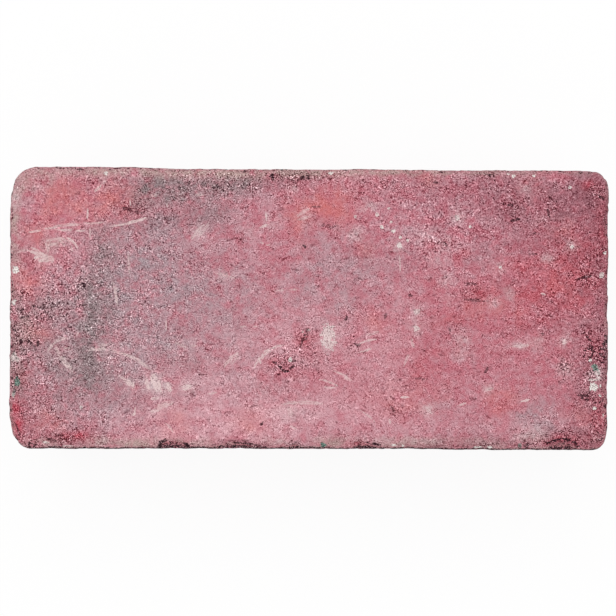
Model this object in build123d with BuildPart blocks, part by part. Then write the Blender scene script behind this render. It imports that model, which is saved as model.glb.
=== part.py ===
"""A solid clay brick with worn corners and chipped arrises, lying on its lower bed face.

Frame, in millimetres: +X along the brick towards its right end, +Y towards its back
stretcher face, +Z up, with the origin in the middle of the lower bed face.
"""

import os
from typing import NamedTuple

from build123d import *

# Overall size. The brick was moulded a little wider at its left end than at its right.
LENGTH = 203.0
LEFT_END_WIDTH = 96.0
RIGHT_END_WIDTH = 95.0
HEIGHT = 57.0

# Upright corners, each worn to a radius of its own.
BACK_LEFT_RADIUS = 9.0
BACK_RIGHT_RADIUS = 6.5
FRONT_RIGHT_RADIUS = 6.0
FRONT_LEFT_RADIUS = 8.0

# Arrises round the two bed faces, rubbed down by handling.
UPPER_ARRIS_RADIUS = 2.2
LOWER_ARRIS_RADIUS = 1.8


class Chip(NamedTuple):
    """A shell-shaped chip knocked out of an upper arris."""

    along: float  # from the corner where the arris starts to the middle of the chip
    length: float  # along the arris, taken as if it were still sharp
    depth: float  # below the sharp arris, into the brick at 45 degrees


# Each arris runs clockwise, seen from above, from the corner that its list is named after.
BACK_LEFT_CHIPS = [
    Chip(along=93.0, length=9.0, depth=1.5),
    Chip(along=162.0, length=5.0, depth=1.4),
]
BACK_RIGHT_CHIPS = [
    Chip(along=59.5, length=7.0, depth=1.8),
    Chip(along=72.0, length=9.0, depth=2.0),
]
FRONT_RIGHT_CHIPS = [
    Chip(along=15.5, length=11.5, depth=2.8),
    Chip(along=82.5, length=10.0, depth=2.4),
    Chip(along=106.0, length=5.0, depth=2.0),
    Chip(along=126.5, length=18.0, depth=2.6),
    Chip(along=147.5, length=12.5, depth=2.8),
]
FRONT_LEFT_CHIPS = [
    Chip(along=22.0, length=8.0, depth=2.0),
    Chip(along=34.0, length=6.0, depth=1.7),
]

# Sharp corners of the bed outline, clockwise from above, as they were before any wear.
BACK_LEFT = Vector(-LENGTH / 2, LEFT_END_WIDTH / 2)
BACK_RIGHT = Vector(LENGTH / 2, RIGHT_END_WIDTH / 2)
FRONT_RIGHT = Vector(LENGTH / 2, -RIGHT_END_WIDTH / 2)
FRONT_LEFT = Vector(-LENGTH / 2, -LEFT_END_WIDTH / 2)

CORNER_RADII = [
    (BACK_LEFT, BACK_LEFT_RADIUS),
    (BACK_RIGHT, BACK_RIGHT_RADIUS),
    (FRONT_RIGHT, FRONT_RIGHT_RADIUS),
    (FRONT_LEFT, FRONT_LEFT_RADIUS),
]
CHIPPED_ARRISES = [
    (BACK_LEFT, BACK_RIGHT, BACK_LEFT_CHIPS),
    (BACK_RIGHT, FRONT_RIGHT, BACK_RIGHT_CHIPS),
    (FRONT_RIGHT, FRONT_LEFT, FRONT_RIGHT_CHIPS),
    (FRONT_LEFT, BACK_LEFT, FRONT_LEFT_CHIPS),
]


def scoop_radius(chip: Chip) -> float:
    """Radius of the ball that leaves a chip of that length and depth on a sharp arris."""
    return ((chip.length / 2) ** 2 + chip.depth**2) / (2 * chip.depth)


def scoop_centre(start: Vector, end: Vector, chip: Chip) -> Plane:
    """Plane at the middle of that ball, which stands out from the arris at 45 degrees."""
    run = (end - start).normalized()
    up = Vector(0, 0, 1)
    arris = Plane(
        origin=start + run * chip.along + up * HEIGHT,
        x_dir=run,
        z_dir=up.cross(run) + up,
    )
    return arris.offset(scoop_radius(chip) - chip.depth)


with BuildPart() as brick:
    with BuildSketch() as bed:
        with BuildLine():
            Polyline(BACK_LEFT, BACK_RIGHT, FRONT_RIGHT, FRONT_LEFT, close=True)
        make_face()
        for corner, radius in CORNER_RADII:
            fillet(bed.vertices().sort_by_distance(corner)[0], radius)
    extrude(amount=HEIGHT)
    fillet(brick.faces().sort_by(Axis.Z)[-1].edges(), UPPER_ARRIS_RADIUS)
    fillet(brick.faces().sort_by(Axis.Z)[0].edges(), LOWER_ARRIS_RADIUS)
    for start, end, chips in CHIPPED_ARRISES:
        for chip in chips:
            with Locations(scoop_centre(start, end, chip)):
                Sphere(scoop_radius(chip), mode=Mode.SUBTRACT)
brick.part.label = "brick"

os.makedirs("parts", exist_ok=True)
export_step(brick.part, "parts/brick.step")
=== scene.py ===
"""The looks of a worn clay brick: a skin that carries its relief, and fired clay all over it.

The brick lies on its lower bed face, and the camera looks straight down on the upper one.
Lengths are in metres, apart from those in millimetres that a comment names, and what lies on
the upper bed face is placed by the pixel where the photograph shows it, right and down.
"""

import math
from typing import NamedTuple

import bpy
import numpy as np
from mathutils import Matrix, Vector


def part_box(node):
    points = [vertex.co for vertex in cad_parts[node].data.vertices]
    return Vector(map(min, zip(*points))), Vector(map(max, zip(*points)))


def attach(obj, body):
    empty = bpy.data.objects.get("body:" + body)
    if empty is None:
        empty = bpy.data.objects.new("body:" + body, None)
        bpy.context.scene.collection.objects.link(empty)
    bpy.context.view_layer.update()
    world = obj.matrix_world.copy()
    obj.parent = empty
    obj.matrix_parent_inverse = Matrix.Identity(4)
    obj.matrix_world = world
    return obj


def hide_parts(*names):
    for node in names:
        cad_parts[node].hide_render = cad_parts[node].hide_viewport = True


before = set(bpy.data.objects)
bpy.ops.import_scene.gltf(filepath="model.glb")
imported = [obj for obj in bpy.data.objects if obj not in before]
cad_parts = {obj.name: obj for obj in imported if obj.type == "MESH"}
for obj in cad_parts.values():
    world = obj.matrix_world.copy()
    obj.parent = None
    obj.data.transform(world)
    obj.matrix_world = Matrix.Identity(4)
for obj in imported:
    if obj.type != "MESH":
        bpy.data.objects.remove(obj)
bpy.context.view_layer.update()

MM = 0.001
# Millimetres in a metre, for one value and for the three of a place.
PER_METRE = 1000.0
TO_MM = (PER_METRE,) * 3
SEED = 7

# The brick in its frame.
brick_low, brick_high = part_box("brick")
BRICK_SIZE = brick_high - brick_low
BRICK_MIDDLE = (brick_low + brick_high) / 2
HALF_SIZE = np.array(BRICK_SIZE) / 2
BED_HEIGHT = brick_high.z

# The brick's outline in the photograph, in pixels, and how far it is turned there, clockwise.
PHOTO_SIDE = 616.0
PHOTO_MIDDLE = (308.75, 308.9)
PHOTO_LENGTH = 597.5
PHOTO_TURN = 0.0055
# The relief takes about this much off each end of the form.
WORN_AWAY = 0.3 * MM
PIXEL = (BRICK_SIZE.x - 2 * WORN_AWAY) / PHOTO_LENGTH


def turned(along, across):
    """Pixels, right and down, from distances in metres along the brick and towards its front."""
    right = (along * math.cos(PHOTO_TURN) - across * math.sin(PHOTO_TURN)) / PIXEL
    down = (along * math.sin(PHOTO_TURN) + across * math.cos(PHOTO_TURN)) / PIXEL
    return PHOTO_MIDDLE[0] + right, PHOTO_MIDDLE[1] + down


def photo_pixels(places):
    """The pixels where the photograph shows places on the upper bed face."""
    return turned(places[:, 0], -places[:, 1])


def unfolded_pixels(places):
    """The same with the sides folded out flat round that face, and the lower bed face past the front."""
    along = places[:, 0].copy()
    across = -places[:, 1]
    depth = HALF_SIZE[2] - places[:, 2]
    share = places / HALF_SIZE
    side = np.abs(share).argmax(1)
    sign = np.sign(np.take_along_axis(share, side[:, None], 1)[:, 0])
    along += np.where(side == 0, sign * depth, 0)
    across += np.where(side == 1, -sign * depth, 0)
    below = (side == 2) & (sign < 0)
    across[below] = HALF_SIZE[1] + 2 * HALF_SIZE[2] + HALF_SIZE[1] + places[below, 1]
    return turned(along, across)


def tone(red, green, blue):
    """A colour given as it is seen on a screen, from 0 to 255, as the light that it sends back."""
    seen = np.array([red, green, blue]) / 255
    light = np.where(seen <= 0.04045, seen / 12.92, ((seen + 0.055) / 1.055) ** 2.4)
    return (*light.tolist(), 1.0)


# Colours of the clay and of what has settled on it, and of painted shade.
ROSE_CLAY = tone(191, 141, 151)
DUSKY_CLAY = tone(185, 109, 122)
RED_CLAY = tone(183, 91, 103)
SALMON_CLAY = tone(202, 112, 111)
MAUVE_BLOOM = tone(161, 140, 146)
GREY_BLOOM = tone(137, 117, 120)
PALE_BLOOM = tone(214, 166, 174)
DUSK = tone(132, 76, 87)
SAND_RUB = tone(180, 150, 146)
CRIMSON = tone(178, 72, 87)
LIME_SMUDGE = tone(206, 184, 186)
# Dark and rusty grime, which also paint the shade along the upper arrises and in the front arris's chips.
GRIME_AND_SHADE = tone(36, 22, 27)
RUSTY_GRIME_AND_SHADE = tone(118, 60, 71)
# Painted shade in crevices and holes.
CREVICE_SHADE = tone(52, 16, 27)
PALE_GRAIN = tone(226, 196, 198)
SCUFF = tone(225, 199, 198)
STONE = tone(242, 235, 229)
GREY_STONE = tone(176, 156, 157)
DARK_ALGAE = tone(62, 84, 78)
PALE_ALGAE = tone(124, 160, 146)
# From light to the tone that is seen, in which grains are lighter or darker by even steps.
SEEN_POWER = 1 / 2.2
DARKEST_TONE = (0.17, 0.07, 0.10)


class Patch(NamedTuple):
    """A soft patch of another colour on the upper bed face, in pixels."""

    place: tuple
    reach: tuple  # half its length and half its width
    strength: float


# How fast a patch fades, to about three tenths of its strength at its reach.
PATCH_FADE = 1.2
# How far down the sides the patches of the upper bed face reach, broad ones and near ones.
BROAD_DEPTH = 14 * MM
NEAR_DEPTH = 6 * MM

RED_PATCHES = [
    Patch((28, 394), (14, 14), 0.16),
    Patch((130, 219), (16, 7), 0.35),
    Patch((185, 217), (10, 14), 0.30),
    Patch((268, 280), (10, 36), 0.22),
    Patch((290, 393), (22, 16), 0.22),
    Patch((292, 225), (12, 30), 0.30),
    Patch((304, 337), (10, 12), 0.35),
    Patch((330, 372), (40, 26), 0.15),
    Patch((333, 205), (26, 22), 0.38),
    Patch((363, 393), (22, 16), 0.22),
    Patch((372, 190), (30, 16), 0.20),
    Patch((372, 313), (16, 9), 0.35),
    Patch((395, 408), (32, 16), 0.28),
    Patch((425, 368), (26, 28), 0.45),
    Patch((430, 288), (12, 22), 0.35),
    Patch((450, 345), (110, 70), 0.22),
    Patch((455, 320), (20, 10), 0.45),
    Patch((465, 256), (10, 9), 0.35),
    Patch((474, 294), (12, 10), 0.50),
    Patch((497, 405), (18, 16), 0.40),
    Patch((510, 262), (26, 16), 0.25),
    Patch((520, 300), (26, 16), 0.35),
    Patch((530, 326), (26, 9), 0.45),
    Patch((535, 282), (38, 24), 0.60),
    Patch((545, 335), (70, 60), 0.26),
    Patch((555, 240), (34, 16), 0.35),
    Patch((560, 302), (30, 16), 0.35),
    Patch((568, 408), (16, 9), 0.35),
    Patch((576, 276), (38, 38), 0.85),
    Patch((590, 250), (20, 28), 0.65),
]
SALMON_PATCHES = [
    Patch((32, 280), (16, 18), 0.50),
    Patch((36, 236), (12, 16), 0.42),
    Patch((38, 331), (12, 8), 0.40),
    Patch((45, 420), (20, 12), 0.30),
    Patch((52, 212), (14, 16), 0.48),
    Patch((66, 194), (18, 14), 0.42),
    Patch((95, 208), (40, 20), 0.35),
    Patch((112, 198), (18, 14), 0.30),
    Patch((178, 422), (16, 16), 0.40),
    Patch((252, 420), (18, 12), 0.40),
    Patch((298, 222), (14, 20), 0.35),
    Patch((318, 212), (16, 10), 0.30),
    Patch((333, 205), (24, 18), 0.58),
    Patch((364, 248), (8, 10), 0.35),
    Patch((380, 322), (14, 8), 0.30),
    Patch((405, 404), (24, 12), 0.18),
    Patch((418, 393), (34, 14), 0.16),
    Patch((424, 180), (16, 8), 0.35),
    Patch((485, 310), (34, 16), 0.25),
    Patch((500, 398), (18, 14), 0.30),
    Patch((528, 190), (20, 16), 0.20),
    Patch((564, 226), (20, 10), 0.25),
    Patch((565, 285), (26, 18), 0.25),
    Patch((584, 420), (12, 14), 0.35),
]
MAUVE_PATCHES = [
    Patch((25, 320), (20, 16), 0.40),
    Patch((60, 412), (40, 20), 0.25),
    Patch((62, 290), (26, 22), 0.38),
    Patch((72, 325), (34, 30), 0.40),
    Patch((75, 370), (36, 30), 0.40),
    Patch((105, 415), (44, 24), 0.40),
    Patch((112, 280), (40, 70), 0.35),
    Patch((130, 365), (26, 34), 0.60),
    Patch((140, 265), (36, 40), 0.55),
    Patch((142, 291), (18, 16), 0.14),
    Patch((150, 325), (50, 40), 0.40),
    Patch((160, 228), (36, 16), 0.42),
    Patch((165, 345), (34, 16), 0.30),
    Patch((185, 280), (44, 44), 0.50),
    Patch((190, 215), (50, 18), 0.25),
    Patch((205, 225), (30, 16), 0.32),
    Patch((215, 190), (50, 16), 0.40),
    Patch((220, 385), (60, 24), 0.22),
    Patch((228, 300), (36, 40), 0.40),
    Patch((240, 350), (22, 30), 0.32),
    Patch((300, 290), (20, 24), 0.28),
    Patch((300, 405), (22, 18), 0.25),
    Patch((318, 258), (24, 30), 0.30),
    Patch((340, 285), (60, 40), 0.18),
    Patch((345, 298), (20, 16), 0.30),
    Patch((355, 268), (24, 14), 0.22),
    Patch((362, 188), (18, 14), 0.12),
    Patch((402, 228), (16, 12), 0.25),
    Patch((440, 405), (16, 12), 0.28),
    Patch((480, 258), (24, 14), 0.28),
    Patch((533, 414), (22, 20), 0.65),
    Patch((545, 430), (14, 12), 0.40),
    Patch((548, 424), (18, 14), 0.12),
    Patch((585, 325), (18, 14), 0.16),
    Patch((586, 190), (18, 14), 0.20),
]
GREY_PATCHES = [
    Patch((14, 365), (9, 38), 0.45),
    Patch((22, 345), (14, 26), 0.50),
    Patch((22, 375), (12, 24), 0.45),
    Patch((30, 310), (22, 12), 0.38),
    Patch((45, 345), (30, 30), 0.28),
    Patch((45, 398), (24, 14), 0.28),
    Patch((60, 368), (24, 20), 0.45),
    Patch((62, 305), (36, 12), 0.30),
    Patch((86, 378), (20, 16), 0.50),
    Patch((88, 350), (20, 34), 0.72),
    Patch((94, 285), (20, 28), 0.38),
    Patch((96, 318), (22, 30), 0.72),
    Patch((100, 375), (30, 24), 0.30),
    Patch((106, 252), (16, 24), 0.60),
    Patch((135, 208), (14, 8), 0.50),
    Patch((150, 195), (26, 18), 0.50),
    Patch((180, 186), (56, 16), 0.80),
    Patch((185, 364), (26, 10), 0.30),
    Patch((205, 188), (46, 12), 0.35),
    Patch((215, 212), (16, 12), 0.40),
    Patch((240, 178), (36, 11), 0.75),
]
PALE_PATCHES = [
    Patch((28, 325), (12, 14), 0.14),
    Patch((45, 257), (16, 10), 0.15),
    Patch((66, 235), (24, 14), 0.10),
    Patch((68, 358), (20, 16), 0.16),
    Patch((130, 355), (26, 30), 0.14),
    Patch((155, 383), (12, 12), 0.10),
    Patch((180, 395), (40, 30), 0.16),
    Patch((180, 425), (90, 24), 0.45),
    Patch((205, 235), (14, 10), 0.25),
    Patch((225, 395), (50, 34), 0.34),
    Patch((240, 340), (24, 30), 0.27),
    Patch((240, 425), (50, 16), 0.30),
    Patch((290, 415), (40, 24), 0.50),
    Patch((300, 350), (30, 20), 0.25),
    Patch((310, 325), (60, 34), 0.28),
    Patch((360, 405), (70, 40), 0.38),
    Patch((362, 424), (18, 14), 0.16),
    Patch((385, 350), (40, 40), 0.28),
    Patch((390, 395), (36, 22), 0.22),
    Patch((400, 290), (18, 16), 0.20),
    Patch((437, 426), (18, 12), 0.14),
    Patch((505, 428), (50, 16), 0.30),
    Patch((548, 424), (18, 14), 0.14),
    Patch((585, 326), (16, 10), 0.22),
]
DUSK_PATCHES = [
    Patch((14, 350), (8, 40), 0.25),
    Patch((15, 256), (6, 6), 0.40),
    Patch((25, 420), (20, 24), 0.28),
    Patch((32, 256), (14, 16), 0.14),
    Patch((58, 441), (14, 6), 0.40),
    Patch((68, 188), (18, 12), 0.14),
    Patch((68, 394), (20, 14), 0.12),
    Patch((75, 434), (30, 12), 0.32),
    Patch((130, 207), (16, 9), 0.35),
    Patch((140, 398), (20, 14), 0.24),
    Patch((142, 222), (18, 14), 0.12),
    Patch((176, 396), (18, 16), 0.12),
    Patch((190, 222), (44, 16), 0.22),
    Patch((216, 222), (18, 14), 0.14),
    Patch((262, 448), (9, 4), 0.80),
    Patch((288, 366), (16, 10), 0.22),
    Patch((290, 180), (34, 16), 0.35),
    Patch((326, 322), (16, 10), 0.10),
    Patch((340, 443), (12, 5), 0.25),
    Patch((360, 245), (14, 12), 0.20),
    Patch((400, 189), (20, 14), 0.12),
    Patch((400, 257), (20, 16), 0.20),
    Patch((425, 188), (36, 18), 0.20),
    Patch((438, 222), (18, 16), 0.16),
    Patch((466, 446), (64, 4), 0.62),
    Patch((470, 190), (40, 24), 0.30),
    Patch((470, 296), (10, 10), 0.25),
    Patch((474, 424), (18, 14), 0.15),
    Patch((480, 240), (12, 24), 0.22),
    Patch((480, 441), (70, 10), 0.25),
    Patch((510, 205), (34, 40), 0.30),
    Patch((511, 291), (18, 14), 0.22),
    Patch((530, 328), (24, 8), 0.22),
    Patch((548, 312), (20, 22), 0.20),
    Patch((560, 200), (60, 34), 0.55),
    Patch((560, 245), (46, 24), 0.25),
    Patch((568, 440), (34, 12), 0.45),
    Patch((575, 320), (30, 30), 0.08),
    Patch((580, 405), (20, 20), 0.28),
    Patch((580, 446), (16, 4), 0.35),
    Patch((582, 360), (14, 14), 0.20),
    Patch((585, 285), (26, 30), 0.28),
    Patch((585, 292), (18, 12), 0.20),
    Patch((588, 380), (26, 40), 0.22),
    Patch((594, 352), (18, 30), 0.60),
    Patch((600, 200), (24, 34), 0.55),
    Patch((600, 420), (22, 40), 0.45),
    Patch((603, 272), (16, 50), 0.66),
    Patch((603, 381), (6, 10), 0.40),
]
# Where the grain stands out most.
GRAINY_PATCHES = [
    Patch((25, 335), (24, 62), 0.70),
    Patch((40, 400), (50, 40), 0.60),
    Patch((60, 295), (34, 34), 0.60),
    Patch((80, 430), (60, 20), 0.45),
    Patch((100, 300), (46, 70), 0.75),
    Patch((130, 345), (80, 40), 0.38),
    Patch((150, 262), (60, 60), 0.35),
    Patch((195, 195), (110, 26), 0.40),
    Patch((240, 180), (70, 14), 0.60),
    Patch((284, 360), (20, 20), 0.90),
    Patch((350, 325), (30, 20), 0.30),
    Patch((430, 185), (200, 18), 0.42),
    Patch((440, 235), (46, 30), 0.52),
    Patch((470, 285), (20, 14), 0.50),
    Patch((510, 215), (60, 28), 0.35),
    Patch((545, 310), (40, 40), 0.42),
    Patch((560, 430), (44, 16), 0.50),
    Patch((580, 262), (36, 36), 0.55),
    Patch((592, 365), (20, 50), 0.70),
]
BROAD_ZONES = {
    "red_clay": RED_PATCHES,
    "salmon_clay": SALMON_PATCHES,
    "mauve_bloom": MAUVE_PATCHES,
    "grey_bloom": GREY_PATCHES,
    "pale_bloom": PALE_PATCHES,
    "dusk": DUSK_PATCHES,
    "grainy": GRAINY_PATCHES,
}
SAND_PATCHES = [
    Patch((14, 225), (9, 60), 0.65),
    Patch((16, 356), (10, 50), 0.20),
    Patch((26, 182), (16, 14), 0.45),
    Patch((28, 326), (10, 12), 0.60),
    Patch((40, 443), (34, 6), 0.60),
    Patch((46, 258), (12, 7), 0.35),
    Patch((52, 180), (10, 8), 0.50),
    Patch((54, 244), (14, 7), 0.35),
    Patch((60, 172), (60, 5), 0.40),
    Patch((100, 442), (20, 6), 0.60),
    Patch((136, 444), (30, 7), 0.95),
    Patch((176, 443), (8, 4), 0.70),
    Patch((200, 444), (15, 6), 0.85),
    Patch((215, 171), (140, 6), 0.90),
    Patch((276, 444), (15, 6), 0.60),
    Patch((300, 171), (60, 5), 0.80),
    Patch((330, 441), (26, 6), 0.25),
    Patch((337, 444), (24, 6), 0.65),
    Patch((394, 445), (16, 5), 0.65),
    Patch((415, 442), (46, 5), 0.35),
    Patch((420, 171), (150, 5), 0.85),
    Patch((432, 445), (30, 5), 0.40),
    Patch((482, 444), (30, 6), 0.55),
    Patch((530, 438), (14, 6), 0.55),
    Patch((594, 440), (14, 6), 0.30),
]
SMUDGE_PATCHES = [
    Patch((13, 358), (6, 7), 0.15),
    Patch((13, 394), (5, 6), 0.50),
    Patch((14, 200), (6, 12), 0.75),
    Patch((100, 440), (12, 4), 0.25),
    Patch((110, 348), (14, 9), 0.30),
    Patch((131, 384), (7, 8), 0.55),
    Patch((154, 383), (10, 11), 0.85),
    Patch((168, 387), (7, 7), 0.80),
    Patch((180, 345), (16, 9), 0.12),
    Patch((187, 387), (8, 6), 0.55),
    Patch((199, 232), (7, 10), 0.50),
    Patch((226, 275), (11, 6), 0.45),
    Patch((249, 230), (9, 7), 0.30),
    Patch((262, 392), (9, 9), 0.30),
    Patch((271, 221), (8, 9), 0.50),
    Patch((280, 441), (14, 4), 0.22),
    Patch((288, 412), (12, 10), 0.20),
    Patch((292, 189), (7, 6), 0.45),
    Patch((304, 217), (9, 6), 0.25),
    Patch((328, 338), (11, 15), 0.40),
    Patch((355, 235), (8, 7), 0.45),
    Patch((369, 208), (8, 6), 0.40),
    Patch((380, 440), (12, 4), 0.30),
    Patch((398, 247), (6, 8), 0.60),
    Patch((412, 440), (40, 4), 0.22),
    Patch((416, 329), (6, 8), 0.50),
    Patch((417, 312), (6, 8), 0.45),
    Patch((425, 236), (11, 8), 0.40),
    Patch((428, 409), (8, 8), 0.45),
    Patch((437, 259), (12, 7), 0.35),
    Patch((446, 282), (8, 8), 0.40),
    Patch((447, 243), (9, 7), 0.35),
    Patch((457, 218), (7, 7), 0.55),
    Patch((460, 356), (10, 5), 0.25),
    Patch((462, 341), (10, 8), 0.40),
    Patch((480, 441), (36, 4), 0.16),
    Patch((488, 389), (8, 5), 0.40),
    Patch((491, 302), (9, 6), 0.45),
    Patch((499, 268), (6, 6), 0.55),
    Patch((508, 294), (6, 7), 0.40),
    Patch((522, 345), (13, 5), 0.45),
    Patch((525, 189), (6, 5), 0.45),
    Patch((532, 433), (14, 7), 0.50),
    Patch((538, 341), (7, 7), 0.30),
    Patch((547, 259), (7, 5), 0.45),
    Patch((564, 368), (8, 8), 0.45),
    Patch((565, 341), (8, 7), 0.45),
    Patch((571, 246), (6, 6), 0.45),
    Patch((596, 374), (8, 7), 0.55),
]
# Grime. The patches along the front edge, from about 436 to 450 pixels down, paint the shade along that edge
# as well as dirt.
GRIME_AND_EDGE_SHADE_PATCHES = [
    Patch((12, 347), (4, 9), 0.75),
    Patch((12, 442), (10, 10), 0.55),
    Patch((14, 322), (6, 8), 0.30),
    Patch((24, 334), (14, 14), 0.18),
    Patch((32, 446), (10, 4), 0.50),
    Patch((58, 449), (10, 3), 0.70),
    Patch((60, 450), (60, 3), 0.65),
    Patch((163, 445), (5, 4.5), 1.00),
    Patch((164, 442), (3.5, 4), 0.90),
    Patch((176, 447), (12, 3), 0.35),
    Patch((188, 446), (4.5, 4), 0.80),
    Patch((214, 447), (9, 3), 0.30),
    Patch((229, 447), (10, 4), 0.45),
    Patch((246, 446), (12, 4), 0.70),
    Patch((259, 447), (8, 3), 0.50),
    Patch((262, 450), (9, 3), 0.40),
    Patch((271, 175), (5, 6), 0.50),
    Patch((296, 446), (7, 5), 0.35),
    Patch((304, 177), (9, 5), 0.50),
    Patch((324, 448), (12, 3), 0.10),
    Patch((369, 446), (12, 3), 0.80),
    Patch((381, 446), (7, 3), 0.45),
    Patch((462, 447), (14, 3), 0.40),
    Patch((489, 172), (5, 4), 0.90),
    Patch((508, 446), (10, 3), 0.40),
    Patch((525, 445), (5, 4.5), 0.85),
    Patch((552, 447), (10, 3), 0.10),
    Patch((560, 441), (16, 3.5), 0.55),
    Patch((577, 446), (12, 3), 0.50),
    Patch((582, 397), (7, 6), 0.60),
    Patch((586, 352), (7, 9), 0.40),
    Patch((592, 352), (9, 14), 0.30),
    Patch((600, 436), (8, 10), 0.50),
    Patch((604, 345), (6, 26), 0.38),
    Patch((606, 348), (4, 18), 0.70),
]
CRIMSON_PATCHES = [
    Patch((17, 407), (8, 10), 0.95),
    Patch((17, 426), (9, 9), 0.80),
    Patch((23, 377), (8, 9), 0.50),
    Patch((78, 436), (18, 5), 0.90),
    Patch((128, 209), (10, 5), 0.40),
    Patch((176, 445), (15, 4), 0.25),
    Patch((240, 443), (24, 5), 0.20),
    Patch((262, 378), (6, 10), 0.30),
    Patch((272, 363), (9, 5), 0.50),
    Patch((290, 373), (13, 5), 0.40),
    Patch((303, 341), (9, 8), 0.60),
    Patch((360, 446), (11, 3.5), 0.70),
    Patch((432, 250), (10, 6), 0.30),
    Patch((458, 258), (8, 6), 0.45),
    Patch((482, 294), (16, 8), 0.45),
    Patch((562, 441), (19, 7), 0.75),
    Patch((578, 280), (18, 6), 0.50),
    Patch((588, 186), (8, 5), 0.90),
    Patch((592, 345), (10, 14), 0.40),
    Patch((600, 415), (10, 20), 0.50),
    Patch((602, 225), (8, 40), 0.40),
]
PITTED_PATCHES = [
    Patch((14, 300), (8, 12), 0.50),
    Patch((18, 375), (10, 16), 0.60),
    Patch((24, 332), (20, 28), 0.50),
    Patch((30, 440), (20, 8), 0.60),
    Patch((40, 312), (34, 12), 0.40),
    Patch((66, 438), (22, 7), 0.60),
    Patch((84, 284), (9, 9), 0.50),
    Patch((130, 209), (20, 6), 0.50),
    Patch((170, 446), (26, 4), 0.45),
    Patch((180, 190), (10, 8), 0.45),
    Patch((222, 184), (30, 10), 0.45),
    Patch((240, 445), (36, 5), 0.50),
    Patch((284, 362), (16, 13), 0.40),
    Patch((296, 445), (9, 6), 0.50),
    Patch((300, 176), (30, 7), 0.75),
    Patch((305, 337), (9, 13), 0.60),
    Patch((312, 360), (18, 11), 0.35),
    Patch((330, 226), (14, 6), 0.25),
    Patch((346, 322), (10, 8), 0.30),
    Patch((355, 345), (10, 7), 0.35),
    Patch((366, 445), (20, 5), 0.35),
    Patch((374, 389), (14, 9), 0.25),
    Patch((388, 186), (20, 14), 0.25),
    Patch((395, 410), (14, 9), 0.25),
    Patch((412, 380), (26, 10), 0.25),
    Patch((434, 184), (14, 8), 0.40),
    Patch((444, 246), (10, 8), 0.30),
    Patch((452, 330), (16, 12), 0.25),
    Patch((472, 292), (14, 14), 0.35),
    Patch((490, 174), (12, 6), 0.70),
    Patch((500, 444), (60, 5), 0.40),
    Patch((512, 212), (14, 16), 0.20),
    Patch((550, 213), (12, 9), 0.35),
    Patch((564, 368), (9, 9), 0.80),
    Patch((570, 438), (36, 12), 0.45),
    Patch((584, 277), (16, 8), 0.60),
    Patch((584, 396), (13, 12), 0.65),
    Patch((594, 352), (14, 34), 0.50),
    Patch((598, 192), (10, 12), 0.50),
    Patch((600, 415), (10, 24), 0.55),
    Patch((602, 240), (9, 44), 0.50),
]
NEAR_ZONES = {
    "sand_rub": SAND_PATCHES,
    "crimson": CRIMSON_PATCHES,
    "lime_smudge": SMUDGE_PATCHES,
    "grime_and_edge_shade": GRIME_AND_EDGE_SHADE_PATCHES,
    "pitted": PITTED_PATCHES,
}
# The grimy lines along the upper arrises, dirt and painted shade, in millimetres down from the arris: where
# they start, which is on the upper bed face, where they are full, where they begin to thin out, and how far
# they take for that.
LINE_START, LINE_FULL, LINE_THIN, LINE_FADE = -0.6, 0.3, 1.7, 0.8
# How much further they run down for each millimetre that a point's drift place lies above it.
LINE_RUN = 2.2
# How strong they are: at pixels along the front, and on the other sides.
LINE_STRENGTHS = ((20, 60, 140, 160, 600), (0.6, 0.8, 0.9, 1.1, 1.1))
OTHER_LINES = 0.44
# A point that is this near to a face of the box, in millimetres, counts as on it.
ON_FACE = 0.01
# Chips in the front arris, in millimetres below the box: where they begin and where they are full.
CHIP_FROM, CHIP_FULL = 1.35, 1.9
# How near the arris their points are, and how far from the upright corners, in millimetres.
ARRIS_REACH, CORNER_REACH = 6.0, 9.5
# How much lower the grimy line runs for each millimetre of a chip's depth, and the chips' own grime with
# painted shade, and red.
LINE_DROP = 1.6
CHIP_GRIME_AND_SHADE, CHIP_RED = 0.45, 0.4
# How strongly the pits on the sides and the lower bed face are darkened, as painted shade.
PIT_SHADE = 0.7
# Patches of each kind on the sides and the lower bed face: how many, their reach and their strength.
HIDDEN_ZONES = {
    "red_clay": (16, (10, 30), (0.2, 0.6)),
    "salmon_clay": (12, (6, 20), (0.2, 0.5)),
    "mauve_bloom": (34, (12, 36), (0.3, 0.7)),
    "grey_bloom": (24, (10, 30), (0.3, 0.7)),
    "pale_bloom": (34, (10, 32), (0.3, 0.6)),
    "dusk": (12, (12, 34), (0.2, 0.5)),
    "sand_rub": (26, (3, 10), (0.2, 0.6)),
    "lime_smudge": (70, (2, 6), (0.3, 0.8)),
    "grime_and_edge_shade": (14, (2, 6), (0.2, 0.5)),
    "pitted": (50, (3, 8), (0.3, 0.9)),
    "crimson": (20, (3, 9), (0.3, 0.8)),
    "grainy": (40, (10, 30), (0.3, 0.8)),
}


class Mark(NamedTuple):
    """A long or round mark on the upper bed face, in pixels, thinner towards both its ends."""

    start: tuple
    end: tuple
    bow: float  # how far its middle lies to the right of the straight line, seen from its start
    width: float
    strength: float


def spot(right, down, radius, strength):
    """A round mark."""
    return Mark((right - radius, down), (right + radius, down), 0, 2 * radius, strength)


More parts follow.
